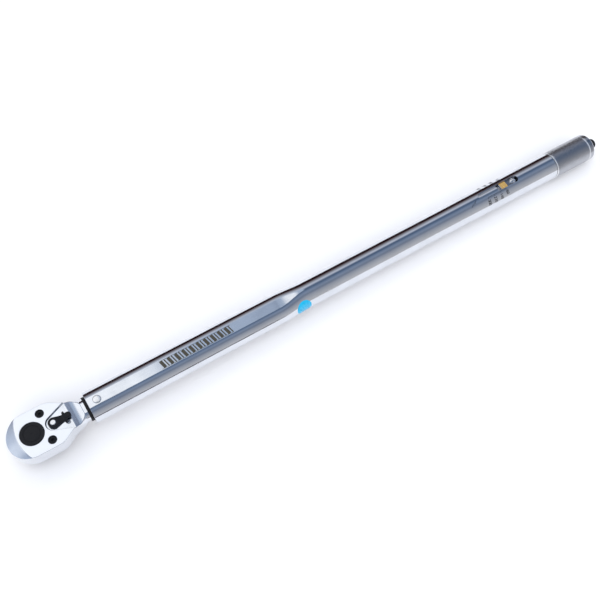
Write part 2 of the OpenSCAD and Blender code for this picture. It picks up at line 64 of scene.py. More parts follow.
right = Vector((0.8387, -0.5360, 0.0963)).normalized()
up = Vector((0.4435, 0.7749, 0.4503))
up = (up - up.dot(right) * right).normalized()
back = right.cross(up)
place = Matrix((right, up, back)).transposed().to_4x4()
place.translation = Vector((35.5, -257.5, 673.8 + AXIS_Z)) * MM
cam_data = bpy.data.cameras.new("camera")
cam_data.sensor_width = 36.0
cam_data.lens = 46.16
cam_data.clip_start = 0.01
cam_data.shift_x = -0.0004
cam_data.shift_y = 0.0008
camera = bpy.data.objects.new("camera", cam_data)
camera.matrix_world = place
bpy.context.scene.collection.objects.link(camera)
bpy.context.scene.camera = camera

# ---- mesh helpers ----


def new_object(name, verts, faces, normals=None, sharp=None):
    """Object from tube-frame millimetres, shaded smooth; sharp is the crease angle in degrees."""
    verts = np.asarray(verts, float) + np.array([0, 0, AXIS_Z])
    mesh = bpy.data.meshes.new(name)
    mesh.from_pydata((verts * MM).tolist(), [], [list(map(int, f)) for f in faces])
    mesh.validate(clean_customdata=False)
    mesh.polygons.foreach_set("use_smooth", [True] * len(mesh.polygons))
    obj = bpy.data.objects.new(name, mesh)
    bpy.context.scene.collection.objects.link(obj)
    if normals is not None:
        mesh.normals_split_custom_set_from_vertices(np.asarray(normals, float).tolist())
    elif sharp is not None:
        mesh.set_sharp_from_angle(angle=math.radians(sharp))
    return obj


def smax(a, b, k):
    """Greater of two distances with the edge between them rounded over about k."""
    h = np.maximum(k - np.abs(a - b), 0) / k
    return np.maximum(a, b) + h * h * k * 0.25


def smin(a, b, k):
    return -smax(-a, -b, k)


def surface(field, lo, hi, step, start=0):
    """Vertices, quads and normals of the zero surface of a distance field, from a grid of cells."""
    axes = [np.arange(a - step, b + 2 * step, step) for a, b in zip(lo, hi)]
    x, y, z = np.meshgrid(*axes, indexing="ij")
    d = field(x, y, z).astype(np.float32)
    del x, y, z
    inside = d < 0
    shape = tuple(n - 1 for n in d.shape)
    corners = [(i, j, k) for i in (0, 1) for j in (0, 1) for k in (0, 1)]

    def cut(grid, c):
        return grid[c[0]:c[0] + shape[0], c[1]:c[1] + shape[1], c[2]:c[2] + shape[2]]

    count = sum(cut(inside, c).astype(np.int8) for c in corners)
    active = (count > 0) & (count < 8)
    ids = np.full(shape, -1, np.int64)
    ids[active] = np.arange(active.sum())
    cell = np.argwhere(active)
    total = np.zeros((len(cell), 3))
    hits = np.zeros(len(cell))
    for a in corners:
        for axis in range(3):
            if a[axis]:
                continue
            b = list(a)
            b[axis] = 1
            da = d[cell[:, 0] + a[0], cell[:, 1] + a[1], cell[:, 2] + a[2]]
            db = d[cell[:, 0] + b[0], cell[:, 1] + b[1], cell[:, 2] + b[2]]
            cross = (da < 0) != (db < 0)
            t = np.where(cross, da / np.where(cross, da - db, 1), 0)
            p = np.array(a, float) + t[:, None] * (np.array(b) - np.array(a))
            total[cross] += p[cross]
            hits += cross
    v = (cell + total / hits[:, None]) * step + np.array([axis[0] for axis in axes])
    quads = []
    for axis in range(3):
        lead = [slice(1, -1)] * 3
        lead[axis] = slice(0, -1)
        tail = list(lead)
        tail[axis] = slice(1, None)
        a, b = inside[tuple(lead)], inside[tuple(tail)]
        edges = np.argwhere(a != b)
        forward = a[tuple(edges.T)]
        base = edges + 1
        base[:, axis] -= 1
        u, w = (axis + 1) % 3, (axis + 2) % 3
        ring = []
        for du, dw in ((-1, -1), (0, -1), (0, 0), (-1, 0)):
            c = base.copy()
            c[:, u] += du
            c[:, w] += dw
            ring.append(ids[tuple(c.T)])
        q = np.stack(ring, 1)
        q[~forward] = q[~forward][:, ::-1]
        quads.append(q)

    def gradient(p, h):
        g = np.zeros_like(p)
        for axis in range(3):
            e = np.zeros(3)
            e[axis] = h
            g[:, axis] = field(*(p + e).T) - field(*(p - e).T)
        return g / (2 * h)

    first = v.copy()
    for _ in range(3):
        g = gradient(v, step * 0.05)
        move = field(*v.T)[:, None] * g / np.maximum((g * g).sum(1), 0.2)[:, None]
        v = v - np.clip(move, -step, step)
    far = np.linalg.norm(v - first, axis=1) > 1.2 * step
    v[far] = first[far]
    n = gradient(v, step * 0.3)
    n /= np.maximum(np.linalg.norm(n, axis=1), 1e-9)[:, None]
    return v, np.concatenate(quads) + start, n


def solid(name, parts):
    """One object from several (field, lowest corner, highest corner, cell size) closed shells."""
    verts, faces, normals = [], [], []
    start = 0
    for field, lo, hi, step in parts:
        v, f, n = surface(field, lo, hi, step, start)
        verts.append(v)
        faces.append(f)
        normals.append(n)
        start += len(v)
    return new_object(name, np.concatenate(verts), np.concatenate(faces), np.concatenate(normals))


def rounded(profile, r, n=4):
    """Polyline with every inner corner rounded by a short curve."""
    out = [profile[0]]
    for a, b, c in zip(profile, profile[1:], profile[2:]):
        a, b, c = (np.array(p, float) for p in (a, b, c))
        ab, cb = np.linalg.norm(a - b), np.linalg.norm(c - b)
        if min(ab, cb) < 1e-6:
            out.append(tuple(b))
            continue
        cut = min(r, ab * 0.45, cb * 0.45)
        p, q = b + (a - b) * cut / ab, b + (c - b) * cut / cb
        for i in range(n + 1):
            t = i / n
            out.append(tuple((1 - t) ** 2 * p + 2 * t * (1 - t) * b + t * t * q))
    out.append(profile[-1])
    return out


def lathe(name, profile, around=96, axis="x", centre=(0, 0, 0), radius=0.25, sharp=25, wave=None):
    """Closed body turned from (along, radius) points; a radius of 0 at either end closes it."""
    points = rounded(profile, radius) if radius else list(profile)
    rings, verts = [], []
    for along, r in points:
        if r < 1e-6:
            rings.append([len(verts)])
            verts.append((along, 0.0, 0.0))
            continue
        start = len(verts)
        for i in range(around):
            a = 2 * math.pi * i / around
            rr = r + (wave(along, a) if wave else 0)
            verts.append((along, rr * math.sin(a), rr * math.cos(a)))
        rings.append(list(range(start, start + around)))
    faces = []
    for lower, upper in zip(rings, rings[1:]):
        for i in range(around):
            j = (i + 1) % around
            if len(lower) == 1 and len(upper) == 1:
                continue
            if len(lower) == 1:
                faces.append((lower[0], upper[i], upper[j]))
            elif len(upper) == 1:
                faces.append((lower[i], upper[0], lower[j]))
            else:
                faces.append((lower[i], upper[i], upper[j], lower[j]))
    if len(rings[0]) > 1:
        faces += [
            (rings[-1][i], rings[0][i], rings[0][(i + 1) % around], rings[-1][(i + 1) % around])
            for i in range(around)
        ]
    v = np.array(verts)
    if axis == "z":
        v = v[:, [2, 1, 0]] * np.array([-1, 1, 1])
        v = np.stack([-v[:, 0], v[:, 1], v[:, 2]], 1)
        faces = [f[::-1] for f in faces]
    return new_object(name, v + np.array(centre), faces, sharp=sharp)


def join(name, objects):
    """Several objects made one."""
    bpy.ops.object.select_all(action="DESELECT")
    for o in objects:
        o.select_set(True)
    bpy.context.view_layer.objects.active = objects[0]
    bpy.ops.object.join()
    objects[0].name = name
    return objects[0]


def outward(obj):
    """Faces turned to point out of the body."""
    bm = bmesh.new()
    bm.from_mesh(obj.data)
    bmesh.ops.recalc_face_normals(bm, faces=bm.faces)
    bm.to_mesh(obj.data)
    bm.free()
    return obj


# ---- tube ----

FLAT_R, TUBE_R, WALL = 11.35, 14.0, 2.0
TUBE_FRONT, FLAT_END, ROUND_START, TAPER_START, TUBE_REAR = 52.0, 250.0, 281.0, 440.0, 609.2
TUBE_END_R = 15.0
WINDOW_FRONT, WINDOW_REAR, WINDOW_HALF = 502.3, 557.0, 3.9
PIN_X, PIN_R = 61.0, 3.75
# rounding of the tube's rims
EDGE_LONG, EDGE_DEEP = 0.5, 0.4


def ease(t):
    t = min(max(t, 0.0), 1.0)
    return t * t * (3 - 2 * t)


def section(x):
    """Half width of the flat and side radius of the tube's outside at a station."""
    t = (x - FLAT_END) / (ROUND_START - FLAT_END)
    t = ease(t)
    r = FLAT_R + (TUBE_R - FLAT_R) * t
    if x > TAPER_START:
        r = TUBE_R + (TUBE_END_R - TUBE_R) * (x - TAPER_START) / (TUBE_REAR - TAPER_START)
    return FLAT_HALF * (1 - t), r


def section_ring(half, r, around):
    """Points round a flattened section, starting at the top."""
    points = []
    flat_steps = 8
    arc_steps = around // 2 - flat_steps
    for side in (1, -1):
        for i in range(flat_steps):
            points.append((side * (-half + 2 * half * i / flat_steps), side * r))
        for i in range(arc_steps):
            a = math.pi * i / arc_steps
            points.append((side * (half + r * math.sin(a)), side * r * math.cos(a)))
    return points


def loft(name, stations, around=160):
    """Closed sleeve through (x, half, radius) stations, outside first, then back along the inside."""
    verts = []
    for x, half, r in stations:
        ring = section_ring(half, r, around)
        verts += [(x, y, z) for y, z in ring]
    n = len(ring)
    faces = []
    for s in range(len(stations)):
        t = (s + 1) % len(stations)
        for i in range(n):
            j = (i + 1) % n
            faces.append((s * n + i, t * n + i, t * n + j, s * n + j))
    return new_object(name, verts, faces, sharp=22)


def tube_stations():
    """Stations of the tube's outside and inside, closer together at its rounded ends."""
    xs = [TUBE_FRONT, 52.15, 52.45, 53.0] + list(np.linspace(56, FLAT_END - 1, 54))
    xs += list(np.linspace(FLAT_END, ROUND_START, 32))
    xs += list(np.linspace(ROUND_START + 2, 608.0, 90))
    xs += [608.7, 609.05, TUBE_REAR]
    out = []
    for x in xs:
        half, r = section(x)
        edge = 0.0
        for end in (TUBE_FRONT, TUBE_REAR):
            gap = abs(x - end)
            if gap < EDGE_LONG:
                edge = EDGE_DEEP * (1 - math.sqrt(max(0.0, 1 - (1 - gap / EDGE_LONG) ** 2)))
        out.append((x, half, r - edge))
    inside = [TUBE_REAR, 608.8] + list(np.linspace(600, ROUND_START, 12))
    inside += list(np.linspace(ROUND_START, FLAT_END, 12)) + [160.0, 53.0, TUBE_FRONT]
    for x in inside:
        share = ease((x - FLAT_END) / (ROUND_START - FLAT_END))
        out.append((x, section(x)[0], FLAT_R - WALL + (TUBE_R - FLAT_R) * share))
    return out


tube = outward(loft("tube_body", tube_stations(), 200))


def plan_prism(name, outline, z0, z1):
    """Upright prism on a closed outline."""
    n = len(outline)
    verts = [(x, y, z0) for x, y in outline] + [(x, y, z1) for x, y in outline]
    faces = [tuple(range(n))[::-1], tuple(range(n, 2 * n))]
    faces += [(i, (i + 1) % n, n + (i + 1) % n, n + i) for i in range(n)]
    return outward(new_object(name, verts, faces))


def slot_outline(x0, x1, r, n=24):
    points = []
    for cx, a0 in ((x1 - r, -90), (x0 + r, 90)):
        for i in range(n + 1):
            a = math.radians(a0 + 180 * i / n)
            points.append((cx + r * math.cos(a), r * math.sin(a)))
    return points


def circle_outline(x, y, r, n=48):
    turns = [2 * math.pi * i / n for i in range(n)]
    return [(x + r * math.cos(a), y + r * math.sin(a)) for a in turns]


def carve(obj, tools):
    """Cuts the tools out of obj for good."""
    for tool in tools:
        m = obj.modifiers.new("cut", "BOOLEAN")
        m.operation = "DIFFERENCE"
        m.solver = "EXACT"
        m.object = tool
    deps = bpy.context.evaluated_depsgraph_get()
    mesh = bpy.data.meshes.new_from_object(obj.evaluated_get(deps))
    obj.modifiers.clear()
    obj.data = mesh
    for tool in tools:
        bpy.data.objects.remove(tool)
    return obj


carve(tube, [
    plan_prism("window_tool", slot_outline(WINDOW_FRONT, WINDOW_REAR, WINDOW_HALF), 2, 20),
    plan_prism("pin_tool", circle_outline(PIN_X, 0, PIN_R + 0.12), -20, 20),
])


def tube_normals(obj):
    """True surface normals on the tube's walls, flat ones on its cut faces."""
    mesh = obj.data
    co = np.zeros(len(mesh.vertices) * 3)
    mesh.vertices.foreach_get("co", co)
    co = co.reshape(-1, 3) / MM - np.array([0, 0, AXIS_Z])
    half = np.array([section(x)[0] for x in co[:, 0]])
    dr = np.array([(section(x + 0.5)[1] - section(x - 0.5)[1]) for x in co[:, 0]])
    dh = np.array([(section(x + 0.5)[0] - section(x - 0.5)[0]) for x in co[:, 0]])
    y = np.sign(co[:, 1]) * np.maximum(np.abs(co[:, 1]) - half, 0)
    radial = np.stack([np.zeros(len(co)), y, co[:, 2]], 1)
    radial /= np.maximum(np.linalg.norm(radial, axis=1), 1e-9)[:, None]
    slope = -(dr + dh * np.abs(radial[:, 1]))
    full = radial.copy()
    full[:, 0] = slope
    full /= np.linalg.norm(full, axis=1)[:, None]
    loops = []
    for p in mesh.polygons:
        n = np.array(p.normal)
        for v in p.vertices:
            a = full[v]
            d = float(n @ a)
            loops.append(tuple(a) if d > 0.9 else tuple(-radial[v]) if d < -0.9 else tuple(n))
    mesh.polygons.foreach_set("use_smooth", [True] * len(mesh.polygons))
    mesh.normals_split_custom_set(loops)


tube_normals(tube)
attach(tube, "handle")
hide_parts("tube")

# ---- ratchet head ----

HEAD_TOP, HALF, NOSE_X = 9.9, 21.1, -1.6
LEVER_X, FLOOR = 19.5, 7.6
SCREW_X, SCREW_Y = 12.8, 13.6
# neck: its flattened-round radius, and the concave slope that leads down to it from the face
NECK_R, NECK_FRONT_R, NECK_X = 6.4, 13.1, 34.6
SLOPE_X, SLOPE_Z, SLOPE_R, SLOPE_FRONT = 43.6, 36.4, 30.0, 35.2
# pocket for the cover plate, and the plate with its play
POCKET_R, COVER_R, COVER_TOP = 17.3, 17.24, -7.4
COVER_TURN_X, COVER_NORMAL = 15, (0.4376, 0.8992)
SHAFT_HOLE_R = 3.05
SCREW_HEAD_R, WELL_R, WELL_FLOOR = 3.5, 3.8, 4.5


def head_plan(x, y):
    ay = np.abs(y)
    side = np.where(x < NOSE_X, np.hypot(x - NOSE_X, y), ay) - HALF
    slant = (x - 21.0) * 0.5255 + (ay - 21.1) * 0.8508
    head = smax(smax(side, slant, 2.5), x - 41.0, 0.5)
    neck = np.maximum((ay - 12.7 + (x - 34.6) * 0.0756) * 0.997, 30.0 - x)
    return smin(head, neck, 2.0)


def recess_plan(x, y):
    u, v = x - LEVER_X, np.abs(y)
    s, c = math.sin(math.radians(22.2)), math.cos(math.radians(22.2))
    return np.where(u * c + v * s > 0, v * c - u * s, np.hypot(u, v)) - 6.75


def cover_plan(x, y, r, rear):
    """Outline of the cover plate or of its pocket: round nose, straight sides, slanted shoulders."""
    ay = np.abs(y)
    side = np.where(x < NOSE_X, np.hypot(x - NOSE_X, y), ay) - r
    slant = (x - COVER_TURN_X) * COVER_NORMAL[0] + (ay - r) * COVER_NORMAL[1]
    return np.maximum(side, np.maximum(slant, x - rear))


def head_field(x, y, z):
    az = np.abs(z)
    plan = head_plan(x, y)
    d = smax(plan, az - HEAD_TOP, 0.9)
    # neck drawn down to a flattened round
    r = NECK_FRONT_R - (x - NECK_X) * 0.563
    r = np.where(x < NECK_X, NECK_FRONT_R - (x - NECK_X) * 1.2, np.maximum(r, NECK_R))
    stadium_d = (np.hypot(np.maximum(np.abs(y) - FLAT_HALF, 0), z) - r) * 0.92
    d = smax(d, stadium_d, 0.5)
    # concave slope behind the face
    slope = np.where(x < SLOPE_X, SLOPE_R - np.hypot(x - SLOPE_X, az - SLOPE_Z), az - NECK_R)
    slope = np.minimum(slope, x - SLOPE_FRONT)
    d = smax(d, np.where(az > 4, slope, -5.0), 0.25)
    bevel = (np.hypot(x - 33.2, y) - 46.0 - (HEAD_TOP - z) * 2.357) / 2.56
    d = smax(d, bevel, 0.5)
    foot = (plan - z - HEAD_TOP + 1.6) / 1.4142
    d = smax(d, np.where(x < 40, foot, -5.0), 0.6)
    # shank behind the neck
    shank = smax(smax(np.abs(y) - 10.0, az - 6.7, 0.8), np.maximum(x - 76.0, 54.4 - x), 0.5)
    d = np.where(x > 50, np.minimum(np.maximum(d, x - 54.5), shank), d)
    # openings
    gear = np.hypot(x, y)
    d = smax(d, 10.68 - gear, 0.5)
    d = smax(d, -smax(gear - 12.3, z - 5.1, 0.4), 0.4)
    wedge = smax(gear - 16.4, np.abs(y) * 0.7986 - x * 0.6018, 0.3)
    wedge = np.minimum(wedge, np.hypot(x - LEVER_X, y) - 5.2)
    d = smax(d, -np.maximum(wedge, z - 4.0), 0.3)
    d = smax(d, -np.maximum(cover_plan(x, y, POCKET_R, 30.0), z - COVER_TOP), 0.3)
    recess = smax(recess_plan(x, y), FLOOR - z, 0.8)
    d = smax(d, -recess, 0.35)
    d = smax(d, -np.maximum(np.hypot(x - LEVER_X, y) - SHAFT_HOLE_R, -z), 0.2)
    well = np.hypot(x - SCREW_X, np.abs(y) - SCREW_Y)
    d = smax(d, -smax(well - WELL_R, WELL_FLOOR - z, 0.4), 0.45)
    d = smax(d, 2.1 - well, 0.2)
    seat = np.hypot(x - LEVER_X - 11.97, y + 5.33) - 1.53
    d = smax(d, -np.maximum(seat, 2.5 - z), 0.2)
    return smax(d, 5.25 - np.hypot(x - PIN_X, y), 0.3)


def tail_field(x, y, z):
    d = smax(np.abs(y) - 7.0, np.abs(z) - 5.8, 0.8)
    d = smax(d, np.maximum(x - 212.5, 75.5 - x), 0.5)
    socket = np.minimum(np.hypot(x - 211.0, y) - 3.15, np.maximum(np.abs(y) - 3.15, 211.0 - x))
    return smax(d, -socket, 0.3)


head = solid("head_body", [
    (head_field, (-22.9, -21.3, -10.0), (76.2, 21.3, 10.0), 0.27),
    (tail_field, (75.0, -7.2, -6.0), (213, 7.2, 6.0), 0.7),
])
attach(head, "head")
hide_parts("ratchet_head")


def cover_field(x, y, z):
    plan = cover_plan(x, y, COVER_R, 29.9)
    d = smax(plan, np.maximum(-HEAD_TOP - z, z - COVER_TOP), 0.5)
    d = smax(d, 10.07 - np.hypot(x, y), 0.4)
    d = smax(d, 2.03 - np.hypot(x - SCREW_X, np.abs(y) - SCREW_Y), 0.2)
    return smax(d, -np.maximum(np.hypot(x - LEVER_X, y) - SHAFT_HOLE_R, -8.9 - z), 0.2)


cover = solid("bottom_cover", [(cover_field, (-19, -17.4, -9.9), (30.1, 17.4, -7.4), 0.3)])
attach(cover, "head")
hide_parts("cover_plate")


def hexagon(u, v):
    """Distance from a hexagon's centre to its flats."""
    turns = (0, math.pi / 3, -math.pi / 3)
    return np.maximum.reduce([np.abs(u * math.cos(t) + v * math.sin(t)) for t in turns])


def cap_screw_field(x, y, z):
    r = np.hypot(x, y)
    a = np.arctan2(y, x)
    ridges = 0.06 * np.cos(36 * a) ** 2 * (z < 8.0)
    d = smax(r - SCREW_HEAD_R + ridges, np.maximum(z - 8.5, WELL_FLOOR - z), 0.5)
    return smax(d, -np.maximum(hexagon(x, y) - 1.62, 6.3 - z), 0.25)


def shifted(field, dx, dy, dz=0.0):
    return lambda x, y, z: field(x - dx, y - dy, z - dz)


SCREW_THREADS = 16
screw_parts = []
for side in (-1, 1):
    y = side * SCREW_Y
    low, high = (SCREW_X - 3.6, y - 3.6, 4.4), (SCREW_X + 3.6, y + 3.6, 8.6)
    screw_parts.append(solid("screw_top", [(shifted(cap_screw_field, SCREW_X, y), low, high, 0.16)]))
    profile = [(-9.6, 0), (-9.6, 1.6)]
    for i in range(SCREW_THREADS):
        profile += [(-9.3 + i * 0.7, 1.98), (-8.95 + i * 0.7, 1.68)]
    profile += [(2.2, 1.98), (4.7, 1.98), (4.7, 0)]
    screw_parts.append(outward(lathe("screw_shank", profile, 32, "z", (SCREW_X, y, 0), 0)))
screws = join("cap_screws", screw_parts)
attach(screws, "head")
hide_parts("cover_screws")

# ---- drive gear ----

DRIVE_LOW = -AXIS_Z
SQUARE_HALF = 6.35
TEETH = 36


def square_field(x, y, z):
    d = smax(np.abs(x) - SQUARE_HALF, np.abs(y) - SQUARE_HALF, 0.9)
    r = np.hypot(x, y)
    d = smax(d, r - 8.38, 0.5)
    d = smax(d, np.maximum(z + 12.0, DRIVE_LOW - z), 0.3)
    d = smax(d, (r - 7.48 - (z - DRIVE_LOW)) * 0.7071, 0.4)
    return smax(d, -np.maximum(np.hypot(y, z + 20.4) - 2.08, x + 0.2), 0.35)


def teeth_field(x, y, z):
    r, a = np.hypot(x, y), np.arctan2(y, x)
    tooth = 11.6 + 0.38 * np.cos(TEETH * a)
    return smax((r - tooth) * 0.9, np.maximum(z - 5.0, -6.0 - z), 0.3)


disc = outward(lathe("disc", [
    (4.8, 0), (4.8, 10.6), (10.0, 10.6), (10.0, 7.6), (9.72, 7.55), (9.72, 7.05), (10.0, 7.0),
    (10.0, 1.2), (9.8, 0.0)], 128, "z", (0, 0, 0), 0.16, 35))
boss = outward(lathe("boss", [
    (-12.4, 0), (-12.4, 10.0), (-9.4, 10.0), (-9.4, 8.55), (-7.8, 8.55), (-7.8, 10.0), (-5.9, 10.0),
    (-5.9, 0)], 96, "z", (0, 0, 0), 0.2, 35))
gear = join("gear_drive", [
    solid("square", [(square_field, (-6.5, -6.5, DRIVE_LOW - 0.1), (6.5, 6.5, -11.9), 0.25)]),
    solid("teeth", [(teeth_field, (-12.1, -12.1, -6.1), (12.1, 12.1, 5.1), 0.3)]), disc, boss])
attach(gear, "drive")
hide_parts("drive_gear")

# ---- reversing lever ----


def lever_field(x, y, z):
    u, v = x - LEVER_X, np.abs(y)
    hub = np.hypot(u, v) - 4.7
    web = np.maximum(np.maximum((v - 4.7 + u * 0.2) * 0.98, -u), u - 10.5)
    arm = np.hypot(u - np.clip(u, 0, 13.9), v) - 2.6
    ear = np.hypot(u - 10.5, v - np.minimum(v, 4.1)) - 1.15
    plan = smin(smin(smin(hub, web, 0.6), arm, 0.8), ear, 0.9)
    # domed hub, dished middle and raised thumb piece
    dish = np.clip((u - 2.5) / 5.0, 0, 1)
    lift = np.clip((u - 9.3) / 3.6, 0, 1)
    crown = 11.0 - 0.9 * dish * dish * (3 - 2 * dish) + 2.3 * lift * lift * (3 - 2 * lift)
    d = smax(plan, z - crown, 0.9)
    d = smax(d, 7.65 - z, 0.3)
    ring = np.hypot(u, y)
    track = np.maximum(np.abs(ring - 13.1) - 1.2, np.maximum(y - 1.2, z - 8.55))
    d = smax(d, -track, 0.2)
    return smax(d, 2.56 - ring, 0.35)


lever = solid("lever_body", [(lever_field, (14.6, -5.8, 7.6), (36.2, 5.8, 12.5), 0.15)])
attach(lever, "lever")
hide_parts("reverse_lever")

shaft = outward(lathe("lever_stem", [
    (-8.8, 0), (-8.8, 2.94), (-7.35, 2.94), (-7.35, 4.0), (-6.2, 4.0), (-6.2, 3.0), (7.55, 3.0),
    (7.55, 2.49), (11.1, 2.49), (11.2, 2.1), (11.2, 0)], 64, "z", (LEVER_X, 0, 0), 0.2, 35))
# cross bore that the spring-loaded pusher slides in
BORE_FRONT, BORE_REAR, BORE_R, PUSHER_Z = LEVER_X - 4, LEVER_X + 2, 1.43, -1.0
bore_profile = [(BORE_FRONT, 0), (BORE_FRONT, BORE_R), (BORE_REAR, BORE_R), (BORE_REAR, 0)]
carve(shaft, [lathe("bore_tool", bore_profile, 64, "x", (0, 0, PUSHER_Z), 0, 35)])
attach(shaft, "lever")
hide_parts("lever_shaft")

# ---- pivot pin, seal and sticker ----

pin_profile = [(-FLAT_R, 0), (-FLAT_R, PIN_R), (11.6, PIN_R), (11.6, 0)]
pin = outward(lathe("pin_body", pin_profile, 64, "z", (PIN_X, 0, 0), 0.45, 35))
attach(pin, "handle")
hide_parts("pivot_pin")

SEAL_FRONT, SEAL_REAR, SEAL_BORE_R, SEAL_LIP_R, SEAL_R = 49.2, 54.1, 6.95, 7.85, 9.33
seal_profile = [
    (SEAL_FRONT, SEAL_BORE_R), (SEAL_FRONT, SEAL_LIP_R), (51.9, SEAL_LIP_R),
    (TUBE_FRONT, SEAL_R), (SEAL_REAR, SEAL_R), (SEAL_REAR, SEAL_BORE_R)]
seal_stations = []
for x, r in rounded(seal_profile, 0.2, 3):
    seal_stations.append((x, FLAT_HALF, r))
seal = outward(loft("seal_ring", seal_stations, 120))
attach(seal, "handle")
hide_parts("neck_seal")


def on_tube(x, lean, lift):
    """Point above the tube's skin; lean in millimetres round the outside from the top towards -Y."""
    half, r = section(x)
    side = -1 if lean > 0 else 1
    s = abs(lean)
    if s <= half:
        return (x, side * s, r + lift)
    a = (s - half) / r
    return (x, side * (half + (r + lift) * math.sin(a)), (r + lift) * math.cos(a))


def disc_on_tube(name, x0, lean0, radius, thick, rings=10, around=72):
    """Round label wrapped on the tube."""
    verts, faces = [], []
    for layer, lift in enumerate((thick, 0.005)):
        verts.append(on_tube(x0, lean0, lift))
        for k in range(1, rings + 1):
            rr = radius * k / rings
            drop = lift if k < rings or layer else lift * 0.6
            for i in range(around):
                a = 2 * math.pi * i / around
                verts.append(on_tube(x0 + rr * math.cos(a), lean0 + rr * math.sin(a), drop))
    count = 1 + rings * around
    for layer in (0, 1):
        base = layer * count
        for i in range(around):
            j = (i + 1) % around
            faces.append((base, base + 1 + i, base + 1 + j))
            for k in range(rings - 1):
                a, b = base + 1 + k * around, base + 1 + (k + 1) * around
                faces.append((a + i, b + i, b + j, a + j))
    edge = 1 + (rings - 1) * around
    for i in range(around):
        j = (i + 1) % around
        faces.append((edge + i, count + edge + i, count + edge + j, edge + j))
    return outward(new_object(name, verts, faces, sharp=50))


STICKER_X, STICKER_LEAN, STICKER_R = 273.5, 73, 8.3
sticker_half, sticker_side = section(STICKER_X)
sticker_arc = sticker_half + math.radians(STICKER_LEAN) * sticker_side
sticker = disc_on_tube("sticker_disc", STICKER_X, sticker_arc, STICKER_R, 0.1)
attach(sticker, "handle")
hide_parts("check_sticker")

# ---- marks on the tube ----


def strip(points, width, thick=0.03, lift=0.0):
    """Thin raised line through (x, lean) points on the tube: vertices and faces."""
    verts, faces = [], []
    dense = []
    for (x0, s0), (x1, s1) in zip(points, points[1:]):
        n = max(1, int(math.hypot(x1 - x0, s1 - s0) / 0.4))
        dense += [(x0 + (x1 - x0) * i / n, s0 + (s1 - s0) * i / n) for i in range(n)]
    dense.append(points[-1])
    for i, (x, s) in enumerate(dense):
        a = dense[max(i - 1, 0)]
        b = dense[min(i + 1, len(dense) - 1)]
        dx, ds = b[0] - a[0], b[1] - a[1]
        size = math.hypot(dx, ds) or 1
        nx, ns = -ds / size * width / 2, dx / size * width / 2
        for sx, ss in ((x + nx, s + ns), (x - nx, s - ns)):
            for level in (-0.05 + lift, thick + lift):
                verts.append(on_tube(sx, ss, level))
    for i in range(len(dense) - 1):
        a, b = 4 * i, 4 * i + 4
        faces += [(a + 1, b + 1, b + 3, a + 3), (a, a + 2, b + 2, b)]
        faces += [(a, b, b + 1, a + 1), (a + 2, a + 3, b + 3, b + 2)]
    last = 4 * (len(dense) - 1)
    faces += [(0, 1, 3, 2), (last, last + 2, last + 3, last + 1)]
    return verts, faces


# digits as strokes on a grid two wide and four high
DIGITS = {
    "0": [[(0, 0), (2, 0), (2, 4), (0, 4), (0, 0)]],
    "1": [[(0.4, 3.3), (1.2, 4), (1.2, 0)]],
    "2": [[(0, 4), (2, 4), (2, 2.2), (0, 0), (2, 0)]],
    "3": [[(0, 4), (2, 4), (2, 0), (0, 0)], [(0.5, 2.1), (2, 2.1)]],
    "4": [[(1.5, 0), (1.5, 4), (0, 1.4), (2, 1.4)]],
    "5": [[(2, 4), (0, 4), (0, 2.3), (2, 2.3), (2, 0), (0, 0)]],
    "6": [[(2, 4), (0, 4), (0, 0), (2, 0), (2, 2.1), (0, 2.1)]],
}


def marks(name, lines):
    verts, faces = [], []
    for points, width in lines:
        v, f = strip(points, width)
        faces += [tuple(i + len(verts) for i in face) for face in f]
        verts += v
    return outward(new_object(name, verts, faces, sharp=20))


MARK_X = [512.0, 520.5, 529.0, 537.5]
VALUES = {1: ["300", "220", "140", "60"], -1: ["220", "160", "100", "45"]}


def numeral(text, x, side, start, scale=0.72):
    """Strokes of a number that reads round the tube, away from the window."""
    out = []
    for i, digit in enumerate(text):
        for stroke in DIGITS[digit]:
            path = [
                (x + side * (v - 2) * scale, side * (start + (i * 3.1 + u) * scale)) for u, v in stroke]
            out.append((path, 0.62))
    return out


scale_lines = []
for side in (1, -1):
    for x, text in zip(MARK_X, VALUES[side]):
        scale_lines.append(([(x, side * 4.9), (x, side * 7.2)], 0.5))
        scale_lines += numeral(text, x, side, 7.7)
    for i in range(16):
        x = MARK_X[0] + i * 1.7
        if i % 5:
            scale_lines.append(([(x, side * 4.9), (x, side * 6.0)], 0.34))
    scale_lines.append(([(MARK_X[0], side * 4.7), (MARK_X[-1], side * 4.7)], 0.28))
for i in range(3):
    scale_lines.append(([(489.0 + i * 2.6, 6.6 - i * 1.0), (492.0 + i * 2.6, 3.4 - i * 1.0)], 0.4))
scale_marks = marks("scale_marks", scale_lines)
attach(scale_marks, "handle")

# etched panel: a border line on each side and slanted bars, broad and narrow in turn
PANEL_FRONT, PANEL_LONG, PANEL_BARS, BAR_REACH, BAR_SLANT = 124.0, 75.0, 10, 3.7, 1.8
panel_lines = []
for edge in (-3.95, 3.95):
    panel_lines.append(([(PANEL_FRONT, edge), (PANEL_FRONT + PANEL_LONG, edge)], 0.35))
for i in range(PANEL_BARS):
    for start, width in ((PANEL_FRONT + 1.8, 3.2), (PANEL_FRONT + 5.4, 1.2)):
        x = start + i * PANEL_LONG / PANEL_BARS
        panel_lines.append(([(x, -BAR_REACH), (x + BAR_SLANT, BAR_REACH)], width))
panel = marks("etched_panel", panel_lines)
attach(panel, "handle")

# ---- pointer and its screw ----


